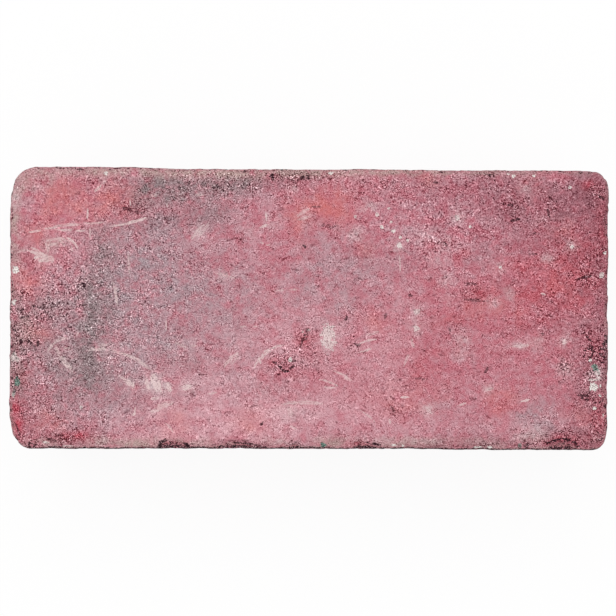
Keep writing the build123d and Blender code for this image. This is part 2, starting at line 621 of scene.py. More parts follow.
SCUFFS = [
    Mark((108, 227), (150, 217), 1.4, 2.8, 0.75),
    Mark((128, 223), (151, 217), 0.5, 3.2, 0.75),
    Mark((42, 229), (58, 228), 0, 2.6, 0.60),
    Mark((54, 227), (84, 225), -1, 3.2, 0.55),
    Mark((58, 230), (76, 229), 1, 2.8, 0.60),
    Mark((75, 231), (87, 231), 0, 2.4, 0.80),
    Mark((28, 233), (44, 230), 0, 2.4, 0.60),
    Mark((83, 223), (107, 222), 1, 2.4, 0.45),
    Mark((88.5, 208), (88, 221), 0, 2.2, 0.75),
    Mark((90.5, 226), (91, 239), 0, 2.0, 0.55),
    Mark((130.5, 199), (131, 206), 0, 2.0, 0.75),
    Mark((167, 203), (168, 208), 0, 2.0, 0.55),
    Mark((48, 256), (46, 242), 1.5, 3.4, 0.50),
    Mark((45, 242), (65, 240), -1.5, 3.0, 0.50),
    Mark((56, 239), (66, 246), -1, 2.6, 0.55),
    Mark((46, 247), (60, 244), -1, 2.6, 0.45),
    Mark((64, 236), (79, 249), -2, 2.8, 0.75),
    Mark((72, 246), (73, 252), 0, 2.2, 0.60),
    Mark((58, 238), (71, 243), -1, 2.6, 0.50),
    Mark((17, 253), (31, 251), -1.5, 2.4, 0.38),
    Mark((27, 250), (54, 261), -1, 5.0, 0.65),
    Mark((35, 258), (56, 259), 0, 9.0, 0.70),
    Mark((29, 247), (46, 258), -2, 2.8, 0.55),
    Mark((95, 192), (102, 186), 0, 3.8, 0.65),
    Mark((101, 186), (107, 180), 0, 2.6, 0.35),
    Mark((129, 252), (130, 275), 0, 3.2, 0.45),
    Mark((115, 285), (118, 306), 0, 3.2, 0.65),
    Mark((113, 282), (117, 291), 0, 4.2, 0.40),
    Mark((191, 241), (206, 224), -1, 4.4, 0.50),
    Mark((197, 238), (210, 222), 1, 3.2, 0.40),
    Mark((150, 196), (159, 195), 0, 4.0, 0.45),
    Mark((195, 195), (205, 195), 0, 3.2, 0.50),
    Mark((266, 211), (266.6, 221), 0, 2.4, 0.85),
    Mark((258, 228), (269, 225), 0, 2.4, 0.75),
    Mark((260, 242), (265, 244), 0, 2.2, 0.55),
    Mark((265, 245), (271, 245), 0, 2.2, 0.55),
    Mark((297, 217), (310, 209), -1, 4.0, 0.45),
    Mark((298, 220), (310, 217), 0, 3.0, 0.45),
    Mark((399.4, 253), (400, 273), 0, 2.4, 0.55),
    Mark((275, 291), (288, 290), 0, 2.2, 0.50),
    Mark((289, 290), (298, 289.5), 0, 2.0, 0.50),
    Mark((214, 272), (234, 278), 0, 5.0, 0.35),
    Mark((48, 352), (57, 342), -1, 3.6, 0.55),
    Mark((55, 342), (70, 338), -1, 3.2, 0.55),
    Mark((56, 345), (61, 358), 0, 3.2, 0.40),
    Mark((60, 356), (73, 373), -1, 5.2, 0.70),
    Mark((64, 348), (72, 348), 0, 2.0, 0.60),
    Mark((76, 336), (80, 332), 0, 2.2, 0.60),
    Mark((89, 350), (108, 349), -0.5, 3.6, 0.65),
    Mark((96, 346), (111, 344), 0, 2.8, 0.40),
    Mark((119, 352), (151, 369), -2, 3.8, 0.52),
    Mark((138, 361), (152, 370), 0, 3.2, 0.45),
    Mark((112, 350), (126, 355), 0, 3.2, 0.40),
    Mark((118, 375), (136, 388), -1, 4.2, 0.55),
    Mark((127, 380), (136, 389), 0, 6.0, 0.85),
    Mark((152, 374), (160, 393), -1, 9.0, 0.95),
    Mark((147, 378), (150, 390), 1, 5.0, 0.80),
    Mark((167, 382), (172, 392), 0, 5.4, 0.90),
    Mark((181, 388), (193, 386), 0, 5.4, 0.75),
    Mark((150, 399), (161, 397), 0, 3.6, 0.50),
    Mark((136, 406), (135, 415), 0, 2.4, 0.75),
    Mark((132, 416), (136, 412), 0, 2.4, 0.75),
    Mark((149, 414), (174, 403), -1.5, 6.0, 0.50),
    Mark((157, 405), (176, 401), 0, 3.6, 0.40),
    Mark((165, 422), (174, 433), -1, 3.2, 0.40),
    Mark((166.6, 319), (166.5, 331), 0, 2.4, 0.60),
    Mark((176, 342), (187, 348), 0, 4.0, 0.40),
    Mark((190, 345), (198, 346), 0, 3.6, 0.40),
    Mark((254, 369), (266, 354), -2, 3.2, 0.60),
    Mark((261, 359), (272, 349), -1.5, 5.2, 0.65),
    Mark((270, 350), (284, 345), -1, 3.2, 0.55),
    Mark((259, 357), (261, 364), 0, 2.2, 0.85),
    Mark((224, 367), (240, 352), -1.5, 5.0, 0.50),
    Mark((230, 366), (241, 356), -1, 3.2, 0.35),
    Mark((358, 344), (378, 339), -1, 2.8, 0.65),
    Mark((358, 353), (373, 349), -0.8, 2.8, 0.65),
    Mark((366, 335), (381, 331), 0, 3.2, 0.35),
    Mark((318, 379), (339, 387), -1.5, 3.0, 0.52),
    Mark((322, 386), (338, 387), 1, 2.2, 0.55),
    Mark((334, 371), (351, 380), -1, 3.0, 0.50),
    Mark((344, 377), (352, 380), 0, 3.6, 0.40),
    Mark((280, 404), (324, 403), -1.5, 5.0, 0.45),
    Mark((299, 402), (325, 404), 0, 3.2, 0.40),
    Mark((289, 406), (291, 417), 0, 6.0, 0.30),
    Mark((290, 425), (298, 430), 0, 2.8, 0.50),
    Mark((399, 397), (409, 397), 0, 2.8, 0.95),
    Mark((389, 418), (390, 424), 0, 2.8, 0.65),
    Mark((358, 409), (375, 422), -1, 2.4, 0.50),
    Mark((207, 394), (218, 392), 0, 2.6, 0.50),
    Mark((240, 327), (247, 326), 0, 2.6, 0.50),
    Mark((253, 326.5), (258, 326), 0, 2.4, 0.60),
    Mark((520, 401), (530, 399), 0, 2.8, 0.95),
    Mark((455, 406), (465, 403), 0, 2.8, 0.60),
    Mark((510, 346), (530, 345), 0.5, 4.0, 0.45),
    Mark((403, 366), (409, 353), 0, 4.0, 0.40),
    Mark((540, 293), (545, 295), 0, 2.4, 0.75),
    Mark((425, 405), (431, 414), 0, 4.0, 0.40),
    Mark((411, 338), (413, 348), 0, 3.2, 0.50),
    Mark((484, 390), (493, 388), 0, 4.0, 0.40),
]
STONES = [
    Mark((455, 214), (458, 221), 0, 5.0, 0.50),
    Mark((11, 392), (15, 397), 0, 4.0, 0.50),
    Mark((62, 446), (74, 447), 0, 3.2, 0.40),
    Mark((44, 441), (50, 443), 0, 2.8, 0.60),
    Mark((12, 352), (20, 362), 0, 6.0, 0.42),
    Mark((391, 446), (397, 447), 0, 4.4, 0.80),
    Mark((402.5, 445), (403.5, 450), 0, 3.2, 0.85),
    Mark((586, 380), (599, 379), 0, 2.6, 0.55),
    Mark((594, 376), (603, 379), 0, 2.4, 0.45),
    Mark((328, 324), (328, 351), 0, 16.0, 0.50),
    Mark((327, 326), (329, 346), 0, 12.0, 0.46),
    spot(327, 337, 6.4, 0.28),
    spot(329, 341, 2.9, 0.50),
    spot(330, 347, 3.1, 0.40),
    spot(290, 359.5, 2.4, 1.00),
    spot(16.5, 270, 4.0, 1.00),
    spot(14, 302, 3.0, 0.90),
    spot(106.5, 173.5, 2.0, 0.90),
    spot(331, 171.5, 2.5, 0.80),
    spot(381.5, 227, 1.9, 0.75),
    spot(393.5, 231.5, 2.0, 0.72),
    spot(388.5, 208.5, 1.6, 0.60),
    spot(377, 215, 2.0, 0.59),
    spot(391, 222, 1.5, 0.59),
    spot(355, 217, 1.7, 0.60),
    spot(400, 238, 1.7, 0.70),
    spot(407, 241, 1.7, 0.60),
    spot(399, 246, 2.9, 0.60),
    spot(469.5, 227, 1.5, 0.80),
    spot(499.5, 268, 2.0, 0.80),
    spot(601, 275, 3.2, 0.60),
    spot(605, 253, 2.0, 0.90),
    spot(571, 247, 2.0, 0.70),
    spot(533.5, 175.5, 2.0, 0.90),
    spot(513, 176.5, 2.2, 0.85),
    spot(508, 173, 1.7, 0.60),
    spot(569, 188, 1.7, 0.60),
    spot(564, 342, 2.7, 0.35),
    spot(592.5, 387, 4.6, 1.00),
    spot(589.5, 360, 1.6, 1.00),
    spot(600, 386, 1.7, 0.90),
    spot(599.5, 395, 1.7, 0.85),
    spot(593.5, 408, 1.9, 0.85),
    spot(604, 415, 2.0, 0.80),
    Mark((474, 450), (482, 449), 0, 4.8, 1.00),
    spot(489.5, 449, 2.6, 0.95),
    spot(416.5, 311.5, 2.9, 0.45),
    spot(416, 328.5, 3.1, 0.50),
    spot(13, 358, 3.7, 0.45),
    spot(82, 407, 1.7, 0.60),
    spot(596.5, 372, 3.1, 0.40),
    spot(303, 332, 1.4, 0.40),
    spot(309, 330, 1.4, 0.35),
]
# Crevices, drawn dark as painted shade in them.
CREVICES = [
    Mark((10, 388), (17, 391), 0, 3.0, 0.80),
    Mark((547, 442), (560, 439), 0, 3.0, 0.95),
    Mark((558, 439), (572, 440), -1, 3.2, 1.00),
    Mark((570, 440), (579, 445), 0, 3.0, 0.90),
    Mark((586, 336), (590, 341), 0, 3.0, 0.80),
    Mark((598, 352), (603, 357), 0, 3.2, 0.80),
    Mark((589, 344), (593, 352), 0, 2.8, 0.80),
    Mark((597, 404), (604, 399), 0, 2.8, 0.80),
    Mark((12, 328), (17, 332), 0, 3.0, 0.85),
    Mark((20, 318), (30, 316), 0, 2.6, 0.70),
    Mark((34, 306), (46, 309), 0, 2.3, 0.59),
    Mark((12, 345), (14, 353), 0, 3.4, 0.90),
    Mark((20, 312), (25, 308), 0, 2.4, 0.70),
    Mark((14, 423), (20, 436), 0, 3.0, 0.70),
    Mark((24, 441), (38, 445), 0, 2.6, 0.70),
    Mark((48, 438), (58, 441), 0, 2.6, 0.60),
    Mark((209, 446), (216, 445), 0, 2.6, 0.50),
    Mark((226, 441), (238, 442), 0, 2.4, 0.45),
    Mark((240, 441), (250, 441), 0, 2.6, 0.50),
    Mark((294, 442), (300, 444), 0, 2.6, 0.50),
    Mark((289, 445), (295, 447), 0, 2.8, 0.50),
    Mark((369, 444), (378, 445), 0, 3.4, 1.00),
    Mark((272, 361), (278, 364), 0, 2.3, 0.77),
    Mark((276, 363), (284, 371), 0, 2.6, 0.85),
    Mark((283, 371), (289, 371), 0, 2.5, 0.85),
    Mark((287, 371), (296, 364), 0, 2.5, 0.77),
    Mark((291, 362), (296, 360), 0, 2.8, 0.68),
    Mark((301, 345), (309, 328), -1, 2.6, 0.75),
    Mark((303, 341), (308, 338), 0, 2.4, 0.60),
    Mark((306, 328), (308, 336), 0, 2.2, 0.60),
    Mark((120, 208), (134, 210), 0, 3.0, 0.64),
    Mark((130, 211), (144, 214), 0, 2.6, 0.47),
    Mark((177, 192), (180, 186), 0, 2.6, 0.68),
    Mark((81, 283), (88, 286), 0, 3.0, 0.85),
    Mark((303, 245), (306, 248), 0, 2.8, 0.81),
    Mark((271, 172), (273, 180), 0, 3.4, 0.80),
    Mark((299, 178), (312, 176), 0, 4.4, 0.80),
    Mark((217, 185), (222, 188), 0, 3.0, 0.68),
    Mark((311, 207), (320, 207), 0, 2.1, 0.59),
    Mark((321, 226), (338, 226), 0, 2.8, 0.38),
    Mark((510, 221), (521, 219), 0, 3.0, 0.85),
    Mark((506, 205), (513, 206), 0, 2.8, 0.72),
    Mark((547, 209), (549, 217), 0, 2.8, 0.72),
    Mark((576, 279), (593, 276), 0, 3.0, 0.72),
    Mark((485, 172), (494, 173), 0, 4.4, 0.90),
    Mark((432, 183), (438, 183), 0, 2.6, 0.68),
    Mark((443, 242), (448, 248), 0, 2.8, 0.59),
    Mark((531, 234), (539, 235), -1, 2.1, 0.51),
    Mark((528, 254), (537, 254), 0, 2.1, 0.47),
    Mark((465, 283), (477, 285), 0, 2.5, 0.51),
    Mark((464, 300), (487, 301), 0, 3.0, 0.51),
    Mark((408, 295), (412, 296), 0, 2.8, 0.68),
    Mark((345, 322), (347, 316), 0, 3.0, 0.77),
    Mark((354, 343), (360, 346), 0, 2.4, 0.60),
    Mark((384, 319), (387, 313), 0, 2.8, 0.55),
    Mark((261, 425), (264, 421), 0, 2.8, 0.85),
    Mark((22, 338), (22, 344), 0, 3.2, 1.00),
    Mark((30, 340), (31, 345), 0, 3.0, 1.00),
    Mark((38, 340), (39, 346), 0, 2.8, 0.85),
    Mark((34, 345), (37, 351), 0, 2.5, 0.59),
    Mark((540, 333), (545, 336), 0, 2.8, 0.68),
    Mark((578, 395), (587, 399), 0, 3.7, 0.77),
    Mark((449, 328), (450, 334), 0, 2.8, 0.59),
    Mark((415, 378), (426, 379), 0, 2.6, 0.51),
    Mark((484, 373), (487, 368), 0, 2.6, 0.68),
    Mark((390, 406), (395, 412), 0, 2.8, 0.38),
    Mark((159, 448), (166, 441), 0, 5.4, 1.00),
    Mark((185, 443), (191, 448), 0, 4.8, 0.95),
    Mark((236, 447), (258, 445), -1, 3.6, 0.55),
    Mark((356, 447), (380, 446), -1, 3.4, 0.50),
    Mark((573, 443), (577, 449), 0, 3.0, 0.70),
    Mark((598, 196), (604, 200), 0, 3.4, 0.80),
]
ALGAE_SPOTS = [
    spot(13.5, 394, 3.2, 0.50),
    Mark((15, 376), (19, 387), 0, 8.5, 0.90),
    Mark((319, 446), (327, 448), 0, 9.0, 0.95),
    spot(594, 367, 4.4, 0.85),
    Mark((519, 442), (520, 449), 0, 5.4, 0.65),
]
MARKS = {
    "scuff": SCUFFS,
    "stone": STONES,
    "crevice": CREVICES,
    "algae": ALGAE_SPOTS,
    "nick": [],
    "fleck": [],
}

# The share of a face's length and width that strewn marks keep to, and how much they bow, as a share of half
# their length.
STREWN_SHARE = 0.94
STREWN_BOW = 0.06


class Strewn(NamedTuple):
    """Marks strewn at random, with their sizes in pixels."""

    count: int
    lengths: tuple
    widths: tuple
    strengths: tuple
    lean: float  # how far they turn away from the brick's length, in radians
    everywhere: bool  # on the upper bed face too


STREWN_MARKS = {
    "scuff": Strewn(130, (5, 24), (2.6, 6.5), (0.2, 0.55), 0.9, False),
    "stone": Strewn(90, (3, 8), (3, 7), (0.4, 1.0), 1.5, False),
    "crevice": Strewn(120, (4, 13), (2.4, 3.8), (0.35, 0.8), 1.1, False),
    "algae": Strewn(6, (5, 9), (5, 8), (0.4, 0.8), 1.5, False),
    "nick": Strewn(1100, (2.5, 9), (1.5, 2.4), (0.3, 0.8), 0.7, True),
    "fleck": Strewn(900, (2, 8), (1.5, 2.6), (0.25, 0.7), 1.5, True),
}
# How far past a mark, in pixels, its points keep its strength, and how far apart marks of one layer stay.
MARK_MARGIN = 4.0
MARK_GAP = 13.0
# The grid, in pixels, on which marks are kept apart, and a place that is off every mark.
GRID_STEP = 3.0
OFF_MARKS = (9.0, 9.0, 0.0)


class Nodes:
    """Adds nodes to one tree, each fed by values or by the outputs of other nodes."""

    def __init__(self, tree):
        self.tree = tree

    def add(self, kind, *values, **settings):
        node = self.tree.nodes.new(kind)
        for name, value in settings.items():
            setattr(node, name, value)
        for socket, value in zip(node.inputs, values):
            self.feed(socket, value)
        return node

    def feed(self, socket, value):
        if isinstance(value, bpy.types.NodeSocket):
            self.tree.links.new(value, socket)
        elif value is not None:
            socket.default_value = value

    def math(self, operation, *values, clamp=False):
        return self.add("ShaderNodeMath", *values, operation=operation, use_clamp=clamp).outputs[0]

    def vector(self, operation, *values):
        return self.add("ShaderNodeVectorMath", *values, operation=operation).outputs["Vector"]

    def parts(self, vector):
        return self.add("ShaderNodeSeparateXYZ", vector).outputs

    def join(self, *values):
        return self.add("ShaderNodeCombineXYZ", *values).outputs[0]

    def remap(self, value, low, high, to_low=0.0, to_high=1.0):
        return self.add(
            "ShaderNodeMapRange", value, low, high, to_low, to_high, interpolation_type="SMOOTHSTEP"
        ).outputs[0]

    def noise(self, place, size, detail=2.0, roughness=0.5):
        """Cloudy noise from 0 to 1, with lumps about that size across."""
        return self.add("ShaderNodeTexNoise", place, None, 1 / size, detail, roughness).outputs[0]

    def sway(self, place, size, reach):
        """A place pushed about by up to that reach, so that what it draws gets an uneven edge."""
        cloud = self.add("ShaderNodeTexNoise", place, None, 1 / size, 2.0).outputs[1]
        push = self.vector("MULTIPLY", self.vector("SUBTRACT", cloud, (0.5,) * 3), (2 * reach,) * 3)
        return self.vector("ADD", place, push)

    def cells(self, place, size):
        """Distance from the middle of the nearest of many scattered cells, and three chances for it."""
        node = self.add("ShaderNodeTexVoronoi", place, None, 1 / size)
        return self.math("MULTIPLY", node.outputs["Distance"], size), self.parts(node.outputs["Color"])

    def blend(self, share, below, above):
        node = self.add("ShaderNodeMix", share, data_type="RGBA")
        self.feed(node.inputs[6], below)
        self.feed(node.inputs[7], above)
        return node.outputs[2]

    def chain(self, operation, *values):
        """Many values brought down to one, from the first on."""
        found, *others = values
        for value in others:
            found = self.math(operation, found, value)
        return found


def new_material(name):
    """A material with no nodes yet, and what adds them to it."""
    material = bpy.data.materials.new(name)
    material.use_nodes = True
    material.node_tree.nodes.clear()
    return material, Nodes(material.node_tree)


def in_scene(name, data):
    """A new object in the scene, made of that mesh, lamp or camera."""
    made = bpy.data.objects.new(name, data)
    bpy.context.scene.collection.objects.link(made)
    return made


# How colours wander over the box: lumps and reach in millimetres, twice for broad ones, once for near ones.
BROAD_WANDER = ((26.0, 4.0), (8.0, 3.0))
NEAR_WANDER = (3.0, 0.8)
# Lumps of the relief, in millimetres across, and how far the edges of pits wander.
WAVE_LUMP, ROUGH_LUMP, CRUMBLE_LUMP, PIT_LUMP = 48.0, 3.4, 7.0, 2.5
PIT_WANDER = 0.8
# Two kinds of pits, in millimetres: how far apart their places are, the share of the places that has a pit,
# and how much wider than the least radius pits get.
PITS = ((11.0, 0.45, 1.7), (5.0, 0.30, 1.0))
LEAST_PIT = 0.5
# Heights above the brick's middle, in millimetres, between which pits grow deeper from the top down.
SIDE_PITS_FROM, SIDE_PITS_FULL = 26.0, 14.0
# Where a hollow or a worn corner begins and where it is full, in millimetres from the brick's middle: along
# the brick, from the left and the right end of each stretcher face's hollow, and across it, towards the back
# and the front corner of the left header face.
BACK_IN, BACK_OUT = (-60.0, -46.0), (45.0, -25.0)
FRONT_IN, FRONT_OUT = (-85.0, 10.0), (80.0, 30.0)
BACK_CORNER, FRONT_CORNER = (33.0, 42.0), (-34.0, -42.0)
# The same for how near a side they are, and for the front arris's crumbling, as shares of half the size.
BY_BACK, BY_FRONT, BY_FRONT_ARRIS = (0.75, 0.98), (-0.75, -0.98), (-0.88, -0.97)
BY_LEFT, BY_FRONT_LEFT = (-0.85, -0.99), (-0.93, -1.0)
# Steps from one seed's noise to the next one's, in millimetres.
SEED_STEP = (97.0, 61.0, 43.0)

# Sizes of the skin's relief, in millimetres unless noted.
SKIN_SIZES = {
    "Size": ("NodeSocketVector", BRICK_SIZE),  # metres
    "Middle": ("NodeSocketVector", BRICK_MIDDLE),  # metres
    "Spacing": ("NodeSocketFloat", 0.88 * MM),  # metres
    "Inset": ("NodeSocketFloat", 10.0 * MM),  # metres
    "Least Depth": ("NodeSocketFloat", 0.03),
    "Wave Depth": ("NodeSocketFloat", 0.28),
    "Rough Depth": ("NodeSocketFloat", 0.36),
    "Back Hollow": ("NodeSocketFloat", 0.45),
    "Front Hollow": ("NodeSocketFloat", 0.15),
    "Back Corner Wear": ("NodeSocketFloat", 0.6),
    "Front Corner Wear": ("NodeSocketFloat", 0.9),
    "Pit Depth": ("NodeSocketFloat", 0.8),
    "Side Pits": ("NodeSocketFloat", 1.6),  # times as deep as on the upper bed face
    "Crumble Depth": ("NodeSocketFloat", 1.5),
    "Crumble Reach": ("NodeSocketFloat", 4.0),
    "Front Crumble": ("NodeSocketFloat", 0.4),  # times as deep as on the other sides
    "Seed": ("NodeSocketFloat", float(SEED)),
}


def skin_tree():
    """Nodes that lay a fine net of points on the brick and press the relief of worn clay into it."""
    tree = bpy.data.node_groups.new("brick_skin", "GeometryNodeTree")
    tree.interface.new_socket("Skin", in_out="OUTPUT", socket_type="NodeSocketGeometry")
    tree.interface.new_socket("Form", in_out="INPUT", socket_type="NodeSocketObject")
    tree.interface.new_socket("Finish", in_out="INPUT", socket_type="NodeSocketMaterial")
    for name, (kind, _) in SKIN_SIZES.items():
        tree.interface.new_socket(name, in_out="INPUT", socket_type=kind)
    n = Nodes(tree)
    given = n.add("NodeGroupInput").outputs

    # A box of the brick's size, divided evenly.
    half = n.vector("MULTIPLY", given["Size"], (0.5,) * 3)
    counts = n.parts(n.vector("CEIL", n.vector("DIVIDE", given["Size"], given["Spacing"])))
    net = n.add("GeometryNodeMeshCube", given["Size"], *counts).outputs[0]
    place = n.add("GeometryNodeInputPosition").outputs[0]

    # How far each point is from the nearest arris of that box.
    gaps = n.parts(n.vector("SUBTRACT", half, n.vector("ABSOLUTE", place)))
    nearest = n.chain("MINIMUM", *gaps)
    furthest = n.chain("MAXIMUM", *gaps)
    to_arris = n.chain("SUBTRACT", n.chain("ADD", *gaps), nearest, furthest)
    to_arris = n.math("MULTIPLY", to_arris, PER_METRE)

    def keep(geometry, name, kind, value):
        node = n.add("GeometryNodeStoreNamedAttribute", geometry, data_type=kind, domain="POINT")
        node.inputs["Name"].default_value = name
        n.feed(node.inputs["Value"], value)
        return node.outputs[0]

    # Each point's place on the box, two swayed ones for colours with uneven edges, and its arris distance.
    place_mm = n.vector("MULTIPLY", place, TO_MM)
    drift = place_mm
    for lump, reach in BROAD_WANDER:
        drift = n.sway(drift, lump, reach)
    near = n.sway(place_mm, *NEAR_WANDER)
    net = keep(net, "box_place", "FLOAT_VECTOR", place)
    net = keep(net, "drift_place", "FLOAT_VECTOR", n.vector("DIVIDE", drift, TO_MM))
    net = keep(net, "near_place", "FLOAT_VECTOR", n.vector("DIVIDE", near, TO_MM))
    net = keep(net, "arris_distance", "FLOAT", to_arris)

    # Each point goes straight in, from the box to the brick's own form.
    inner = n.vector("SUBTRACT", half, given["Inset"])
    core = n.vector("MAXIMUM", place, n.vector("MULTIPLY", inner, (-1.0,) * 3))
    core = n.vector("MINIMUM", core, inner)
    outward = n.vector("NORMALIZE", n.vector("SUBTRACT", place, core))
    box_point = n.vector("ADD", place, given["Middle"])
    start = n.vector("ADD", box_point, n.vector("MULTIPLY", outward, (MM,) * 3))
    form = n.add("GeometryNodeObjectInfo", given["Form"]).outputs["Geometry"]
    met = n.add("GeometryNodeRaycast")
    n.feed(met.inputs["Target Geometry"], form)
    n.feed(met.inputs["Source Position"], start)
    n.feed(met.inputs["Ray Direction"], n.vector("MULTIPLY", outward, (-1.0,) * 3))
    met.inputs["Ray Length"].default_value = 1.0
    way = n.add("ShaderNodeVectorMath", box_point, met.outputs["Hit Position"], operation="DISTANCE")
    net = keep(net, "sunk", "FLOAT", n.math("MULTIPLY", way.outputs["Value"], PER_METRE))
    net = n.add("GeometryNodeSetPosition", net, None, met.outputs["Hit Position"]).outputs[0]
    net = n.add("GeometryNodeSetShadeSmooth", net).outputs[0]

    # The relief, in millimetres below that form.
    spot_mm = n.vector("ADD", place_mm, n.vector("MULTIPLY", given["Seed"], SEED_STEP))
    wave = n.remap(n.noise(spot_mm, WAVE_LUMP, 2.0), 0.45, 0.8)
    wave = n.math("MULTIPLY", wave, given["Wave Depth"])
    rough = n.remap(n.noise(spot_mm, ROUGH_LUMP, 3.0, 0.65), 0.42, 0.85)
    rough = n.math("MULTIPLY", rough, given["Rough Depth"])
    swayed = n.sway(spot_mm, PIT_LUMP, PIT_WANDER)
    pits = []
    for size, share, reach in PITS:
        away, chance = n.cells(swayed, size)
        taken = n.math("LESS_THAN", chance[0], share)
        radius = n.math("MULTIPLY_ADD", chance[1], reach, LEAST_PIT)
        depth = n.remap(n.math("DIVIDE", away, radius), 0.35, 1.0, 1.0, 0.0)
        pits.append(n.math("MULTIPLY", depth, taken))
    pitting = n.chain("MAXIMUM", *pits)
    net = keep(net, "pitting", "FLOAT", pitting)
    height = n.parts(place_mm)[2]
    low_down = n.remap(height, SIDE_PITS_FROM, SIDE_PITS_FULL, 1.0, given["Side Pits"])
    pit = n.chain("MULTIPLY", pitting, low_down, given["Pit Depth"])
    arris = n.add("GeometryNodeInputNamedAttribute", data_type="FLOAT")
    arris.inputs["Name"].default_value = "arris_distance"
    share = n.math("DIVIDE", arris.outputs["Attribute"], given["Crumble Reach"])
    by_arris = n.remap(share, 0.1, 1.0, 1.0, 0.0)
    lumps = n.remap(n.noise(spot_mm, CRUMBLE_LUMP, 4.0, 0.65), 0.42, 0.72)
    far_x, far_y, _ = n.parts(n.vector("DIVIDE", place, half))
    lumps = n.math("MULTIPLY", lumps, n.remap(far_y, *BY_FRONT_ARRIS, 1.0, given["Front Crumble"]))
    crumble = n.chain("MULTIPLY", by_arris, lumps, given["Crumble Depth"])
    below = n.math("ADD", n.math("ADD", wave, rough), n.math("ADD", pit, crumble))
    below = n.math("ADD", below, given["Least Depth"])
    normal = n.add("GeometryNodeInputNormal").outputs[0]
    inward = n.math("MULTIPLY", below, -MM)
    shift = n.vector("MULTIPLY", normal, n.join(inward, inward, inward))

    # The back stretcher face steps in past its left end, the front one is hollow along its middle, and the
    # left header face is worn back towards both its corners.
    def dent(depth, *ramps):
        """One of the given depths, where all of its ramps let it through."""
        shares = [n.remap(value, *ends) for value, ends in ramps]
        return n.chain("MULTIPLY", *shares, given[depth])

    along, across, _ = n.parts(place_mm)
    step = dent("Back Hollow", (along, BACK_IN), (along, BACK_OUT), (far_y, BY_BACK))
    hollow = dent("Front Hollow", (along, FRONT_IN), (along, FRONT_OUT), (far_y, BY_FRONT))
    back_wear = dent("Back Corner Wear", (across, BACK_CORNER), (far_x, BY_LEFT))
    front_wear = dent("Front Corner Wear", (across, FRONT_CORNER), (far_x, BY_FRONT_LEFT))
    wear = n.math("ADD", back_wear, front_wear)
    slide = n.math("MULTIPLY", n.math("SUBTRACT", hollow, step), MM)
    shift = n.vector("ADD", shift, n.join(n.math("MULTIPLY", wear, MM), slide, None))
    net = n.add("GeometryNodeSetPosition", net, None, None, shift).outputs[0]

    net = n.add("GeometryNodeRealizeInstances", net).outputs[0]
    net = n.add("GeometryNodeSetMaterial", net, None, given["Finish"]).outputs[0]
    n.add("NodeGroupOutput", net)
    return tree


def skinned_brick(finish):
    """The brick's skin as a plain mesh."""
    tree = skin_tree()
    piece = in_scene("brick_skin", bpy.data.meshes.new("brick_net"))
    modifier = piece.modifiers.new("skin", "NODES")
    modifier.node_group = tree
    values = {name: value for name, (_, value) in SKIN_SIZES.items()}
    values["Form"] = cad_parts["brick"]
    values["Finish"] = finish
    for item in tree.interface.items_tree:
        if item.in_out == "INPUT":
            modifier[item.identifier] = values[item.name]
    evaluated = piece.evaluated_get(bpy.context.evaluated_depsgraph_get())
    mesh = bpy.data.meshes.new_from_object(evaluated)
    piece.modifiers.remove(modifier)
    piece.data = mesh
    return piece


def point_values(mesh, name, width):
    """One of the mesh's own attributes, as an array with a row for each point."""
    values = np.empty(len(mesh.vertices) * width)
    mesh.attributes[name].data.foreach_get("value" if width == 1 else "vector", values)
    return values.reshape(-1, width)


def spread(pixels, shown, patches):
    """How strongly a set of patches colours each point, from 0 to 1, where the upper bed face shows."""
    left = np.ones(len(shown))
    for patch in patches:
        along = (pixels[0] - patch.place[0]) / patch.reach[0]
        across = (pixels[1] - patch.place[1]) / patch.reach[1]
        left *= 1 - patch.strength * shown * np.exp(-PATCH_FADE * (along**2 + across**2))
    return 1 - left


def scattered(places, hidden, chance, count, reach, strength):
    """The same for patches strewn over the sides and the lower bed face."""
    left = np.ones(len(places))
    for _ in range(count):
        middle = chance.uniform(-1, 1, 3) * HALF_SIZE
        side = chance.integers(3)
        middle[side] = HALF_SIZE[side] * (-1 if side == 2 else chance.choice((-1, 1)))
        radii = chance.uniform(*reach, 3) * MM
        away = (((places - middle) / radii) ** 2).sum(1)
        left *= 1 - chance.uniform(*strength) * hidden * np.exp(-PATCH_FADE * away)
    return 1 - left


def front_chips(mesh):
    """How far each point lies in a chip of the front arris, from 0 to 1, and how deep the chip is there."""
    places = point_values(mesh, "box_place", 3)
    gaps = (HALF_SIZE - places * (0, -1, 1)) / MM
    ends = (HALF_SIZE[0] - np.abs(places[:, 0])) / MM
    by_arris = (gaps[:, 1] < ARRIS_REACH) & (gaps[:, 2] < ARRIS_REACH) & (ends > CORNER_REACH)
    sunk = point_values(mesh, "sunk", 1)[:, 0] * by_arris
    column = np.round((places[:, 0] + HALF_SIZE[0]) / MM).astype(int)
    deepest = np.zeros(column.max() + 1)
    np.maximum.at(deepest, column, sunk)
    share = (sunk - CHIP_FROM) / (CHIP_FULL - CHIP_FROM)
    return np.clip(share, 0, 1), np.maximum(deepest[column] - CHIP_FROM, 0)


